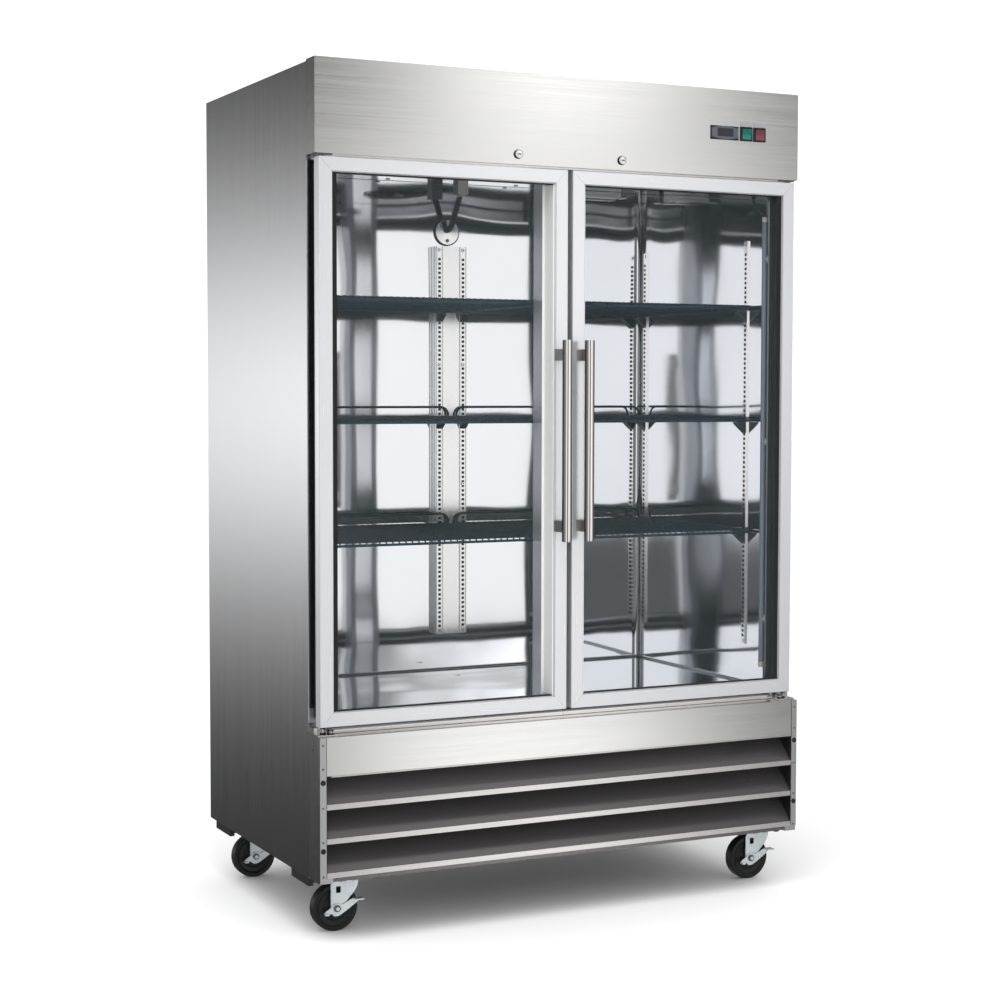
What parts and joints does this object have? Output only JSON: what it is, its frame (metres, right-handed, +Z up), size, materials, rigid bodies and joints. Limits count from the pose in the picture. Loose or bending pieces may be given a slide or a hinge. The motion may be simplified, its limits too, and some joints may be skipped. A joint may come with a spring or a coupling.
{
  "type": "glass door merchandiser",
  "caption": "Upright two-section glass door refrigerated merchandiser in stainless steel, with bar handles, wire shelves, louvered base and swivel casters with brakes.",
  "frame": {"origin": "centre of the footprint, on the floor under the wheels", "axes": "+Z up, the doors face -Y, +X to the right of someone facing the doors"},
  "size_m": [1.372, 0.8824, 2.1226],
  "materials": {
    "brushed_stainless": "vertical-grain brushed stainless sheet",
    "header_stainless": "horizontal-grain brushed stainless sheet",
    "liner_stainless": "mirror-bright stainless liner, slightly wavy",
    "louver_steel": "dark satin sheet with a bright front lip",
    "frame_black": "black satin enamel",
    "door_aluminium": "satin anodised extrusion with mitred corners",
    "handle_steel": "round bar brushed round its length",
    "zinc": "bright zinc-plated pressed steel",
    "caster_rubber": "black hard rubber",
    "gasket_rubber": "black magnetic door gasket",
    "door_glass": "clear double glazing",
    "shelf_epoxy": "dark blue-green epoxy on steel wire",
    "controller_plastic": "grey-blue moulded bezel, dark window",
    "switch_green": "translucent green rocker",
    "switch_red": "translucent red rocker",
    "coil_fins": "bright fin pack",
    "compressor_black": "black gloss enamel shell",
    "fan_plastic": "black moulded fan",
    "lamp_white": "clear LED tube with white core"
  },
  "bodies": {
    "cabinet": {"left_wall": "brushed_stainless", "right_wall": "brushed_stainless", "back_wall": "brushed_stainless", "ceiling_panel": "brushed_stainless", "floor_deck": "liner_stainless", "centre_mullion": "liner_stainless", "rear_column": "liner_stainless", "left_front_pilaster": "liner_stainless", "left_rear_pilaster": "liner_stainless", "right_front_pilaster": "liner_stainless", "right_rear_pilaster": "liner_stainless", "front_sill": "brushed_stainless", "right_lamp": "lamp_white", "evaporator_cover": "liner_stainless", "evaporator_coil": "coil_fins", "compressor": "compressor_black", "condenser": "coil_fins", "header": "header_stainless", "controller": "controller_plastic", "left_post": "brushed_stainless", "right_post": "brushed_stainless", "kick_panel": "header_stainless", "louver_1": "louver_steel", "louver_2": "louver_steel", "louver_3": "louver_steel", "base_frame": "frame_black", "left_hinge": "zinc", "right_hinge": "zinc", "left_lower_shelf": "shelf_epoxy", "left_middle_shelf": "shelf_epoxy", "left_upper_shelf": "shelf_epoxy", "right_lower_shelf": "shelf_epoxy", "right_middle_shelf": "shelf_epoxy", "right_upper_shelf": "shelf_epoxy"},
    "left_door": {"left_door_frame": "door_aluminium", "left_door_glass": "door_glass", "left_door_gasket": "gasket_rubber", "left_door_handle": "handle_steel"},
    "right_door": {"right_door_frame": "door_aluminium", "right_door_glass": "door_glass", "right_door_gasket": "gasket_rubber", "right_door_handle": "handle_steel"},
    "left_lock": {"left_lock": "zinc"},
    "right_lock": {"right_lock": "zinc"},
    "green_switch": {"green_switch": "switch_green"},
    "red_switch": {"red_switch": "switch_red"},
    "evaporator_fan": {"evaporator_fan": "fan_plastic"},
    "condenser_fan": {"condenser_fan": "fan_plastic"},
    "front_left_caster": {"front_left_fork": "zinc"},
    "front_left_wheel": {"front_left_wheel": "caster_rubber"},
    "front_left_brake": {"front_left_brake_lever": "zinc"},
    "front_right_caster": {"front_right_fork": "zinc"},
    "front_right_wheel": {"front_right_wheel": "caster_rubber"},
    "front_right_brake": {"front_right_brake_lever": "zinc"},
    "rear_left_caster": {"rear_left_fork": "zinc"},
    "rear_left_wheel": {"rear_left_wheel": "caster_rubber"},
    "rear_left_brake": {"rear_left_brake_lever": "zinc"},
    "rear_right_caster": {"rear_right_fork": "zinc"},
    "rear_right_wheel": {"rear_right_wheel": "caster_rubber"},
    "rear_right_brake": {"rear_right_brake_lever": "zinc"}
  },
  "joints": [
    {"name": "left_door_hinge", "type": "hinge", "parent": "cabinet", "child": "left_door", "pos_m": [-0.664, -0.36775, 0.526], "axis": [0, 0, -1], "range_deg": [0, 120]},
    {"name": "right_door_hinge", "type": "hinge", "parent": "cabinet", "child": "right_door", "pos_m": [0.664, -0.36775, 0.526], "axis": [0, 0, 1], "range_deg": [0, 120]},
    {"name": "left_lock_turn", "type": "hinge", "parent": "cabinet", "child": "left_lock", "pos_m": [-0.1475, -0.38375, 1.9215], "axis": [0, 1, 0], "range_deg": [0, 90]},
    {"name": "right_lock_turn", "type": "hinge", "parent": "cabinet", "child": "right_lock", "pos_m": [0.1475, -0.38375, 1.9215], "axis": [0, 1, 0], "range_deg": [0, 90]},
    {"name": "green_switch_rock", "type": "hinge", "parent": "cabinet", "child": "green_switch", "pos_m": [0.522, -0.38375, 2.01], "axis": [-1, 0, 0], "range_deg": [0, 16]},
    {"name": "red_switch_rock", "type": "hinge", "parent": "cabinet", "child": "red_switch", "pos_m": [0.5635, -0.38375, 2.01], "axis": [-1, 0, 0], "range_deg": [0, 16]},
    {"name": "evaporator_fan_spin", "type": "hinge", "parent": "cabinet", "child": "evaporator_fan", "pos_m": [0, 0.01625, 1.958], "axis": [0, 0, 1], "continuous": true},
    {"name": "condenser_fan_spin", "type": "hinge", "parent": "cabinet", "child": "condenser_fan", "pos_m": [0.25, -0.09375, 0.278], "axis": [0, 1, 0], "continuous": true},
    {"name": "front_left_swivel", "type": "hinge", "parent": "cabinet", "child": "front_left_caster", "pos_m": [-0.569, -0.27375, 0.129], "axis": [0, 0, 1], "continuous": true},
    {"name": "front_left_wheel_spin", "type": "hinge", "parent": "front_left_caster", "child": "front_left_wheel", "pos_m": [-0.601, -0.27375, 0.059], "axis": [0, 1, 0], "continuous": true},
    {"name": "front_left_brake_press", "type": "hinge", "parent": "front_left_caster", "child": "front_left_brake", "pos_m": [-0.601, -0.27375, 0.059], "axis": [0, 1, 0], "range_deg": [0, 18]},
    {"name": "front_right_swivel", "type": "hinge", "parent": "cabinet", "child": "front_right_caster", "pos_m": [0.646, -0.27375, 0.129], "axis": [0, 0, 1], "continuous": true},
    {"name": "front_right_wheel_spin", "type": "hinge", "parent": "front_right_caster", "child": "front_right_wheel", "pos_m": [0.614, -0.27375, 0.059], "axis": [0, 1, 0], "continuous": true},
    {"name": "front_right_brake_press", "type": "hinge", "parent": "front_right_caster", "child": "front_right_brake", "pos_m": [0.614, -0.27375, 0.059], "axis": [0, 1, 0], "range_deg": [0, 18]},
    {"name": "rear_left_swivel", "type": "hinge", "parent": "cabinet", "child": "rear_left_caster", "pos_m": [-0.569, 0.33125, 0.129], "axis": [0, 0, 1], "continuous": true},
    {"name": "rear_left_wheel_spin", "type": "hinge", "parent": "rear_left_caster", "child": "rear_left_wheel", "pos_m": [-0.601, 0.33125, 0.059], "axis": [0, 1, 0], "continuous": true},
    {"name": "rear_left_brake_press", "type": "hinge", "parent": "rear_left_caster", "child": "rear_left_brake", "pos_m": [-0.601, 0.33125, 0.059], "axis": [0, 1, 0], "range_deg": [0, 18]},
    {"name": "rear_right_swivel", "type": "hinge", "parent": "cabinet", "child": "rear_right_caster", "pos_m": [0.646, 0.33125, 0.129], "axis": [0, 0, 1], "continuous": true},
    {"name": "rear_right_wheel_spin", "type": "hinge", "parent": "rear_right_caster", "child": "rear_right_wheel", "pos_m": [0.614, 0.33125, 0.059], "axis": [0, 1, 0], "continuous": true},
    {"name": "rear_right_brake_press", "type": "hinge", "parent": "rear_right_caster", "child": "rear_right_brake", "pos_m": [0.614, 0.33125, 0.059], "axis": [0, 1, 0], "range_deg": [0, 18]}
  ]
}
